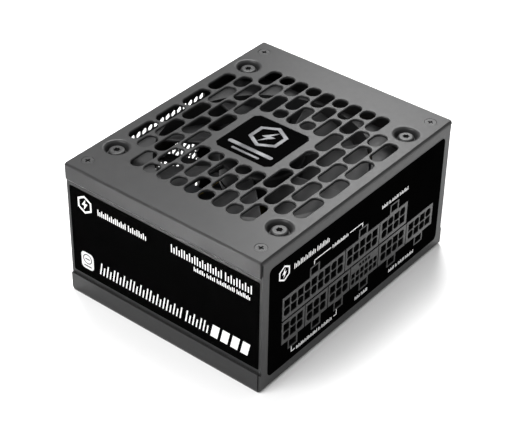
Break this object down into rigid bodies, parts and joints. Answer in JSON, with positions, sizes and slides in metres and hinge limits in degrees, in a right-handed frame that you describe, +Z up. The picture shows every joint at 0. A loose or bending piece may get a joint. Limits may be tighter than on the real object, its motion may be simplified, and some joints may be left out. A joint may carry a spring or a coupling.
{
  "type": "computer power supply unit",
  "caption": "Compact desktop computer power supply: slotted fan grille on top, output sockets at the front, mains inlet, rocker switch and honeycomb vent at the rear.",
  "frame": {"origin": "centre of the casing's underside", "axes": "+X across the casing's width, +Y from the output sockets towards the mains inlet, +Z up through the fan"},
  "size_m": [0.125, 0.1045, 0.0635],
  "materials": {
    "casing": "charcoal powder coat with a fine grain",
    "black_screw": "blackened steel",
    "screw": "nickel-plated steel",
    "badge": "glossy black",
    "emblem": "brushed bright metal",
    "label": "black printed film, satin",
    "socket": "black nylon",
    "contact": "tin-plated brass",
    "copper": "bare copper bar",
    "board": "glass-fibre circuit board, dark green solder mask",
    "moulding": "black moulded plastic",
    "rocker": "glossy black with white O and I marks",
    "fan_frame": "dark grey moulded plastic",
    "fan_rotor": "black, slightly glossy",
    "bronze": "sintered bronze",
    "steel": "ground steel",
    "stator": "wound laminated core",
    "magnet": "bonded ferrite ring",
    "film": "dark insulating film",
    "standoff": "plated steel",
    "can": "sleeved aluminium can with a bare top",
    "toroid": "coated powdered-metal ring",
    "ferrite": "dark grey ferrite",
    "wire": "enamelled copper wire",
    "tape": "copper winding under yellow tape",
    "heatsink": "plain aluminium",
    "package": "black epoxy package",
    "film_capacitor": "yellow potted box",
    "disc": "blue lacquered disc",
    "fuse": "glass tube in plated clips",
    "relay": "sealed dark case"
  },
  "bodies": {
    "chassis": {"badge_emblem": "emblem", "badge_plate": "badge", "base_tray": "casing", "board_links": "copper", "board_screws": "screw", "board_standoffs": "standoff", "bridge_rectifier": "package", "bulk_capacitor": "can", "control_board": "board", "cover_screws": "black_screw", "fan_bearing": "bronze", "fan_board": "board", "fan_frame": "fan_frame", "fan_screws": "black_screw", "fan_stator": "stator", "filter_capacitors": "film_capacitor", "filter_choke_core": "toroid", "filter_choke_winding": "wire", "fuse": "fuse", "inlet_housing": "moulding", "inlet_pins": "contact", "insulation_sheet": "film", "left_label": "label", "main_board": "board", "main_transformer_coil": "tape", "main_transformer_core": "ferrite", "modular_board": "board", "output_capacitors": "can", "output_choke_core": "toroid", "output_choke_winding": "wire", "pfc_choke_core": "toroid", "pfc_choke_winding": "wire", "primary_heatsink": "heatsink", "primary_transistors": "package", "relay": "relay", "right_label": "label", "secondary_heatsink": "heatsink", "secondary_transistors": "package", "socket_contacts": "contact", "socket_cpu_1": "socket", "socket_cpu_2": "socket", "socket_cpu_3": "socket", "socket_drive_1": "socket", "socket_drive_2": "socket", "socket_drive_3": "socket", "socket_graphics_12v": "socket", "socket_label": "label", "socket_main_10pin": "socket", "socket_main_18pin": "socket", "standby_transformer_coil": "tape", "standby_transformer_core": "ferrite", "switch_housing": "moulding", "switch_terminals": "contact", "thermistor": "disc", "top_cover": "casing", "y_capacitors": "disc"},
    "rotor": {"fan_rotor": "fan_rotor", "fan_magnet": "magnet", "fan_shaft": "steel"},
    "rocker": {"switch_rocker": "rocker"}
  },
  "joints": [
    {"name": "fan_spin", "type": "hinge", "parent": "chassis", "child": "rotor", "pos_m": [0, 0, 0.0545], "axis": [0, 0, 1], "continuous": true},
    {"name": "switch_rock", "type": "hinge", "parent": "chassis", "child": "rocker", "pos_m": [0.035, 0.0472, 0.038], "axis": [0, 0, 1], "range_deg": [0, 20]}
  ]
}
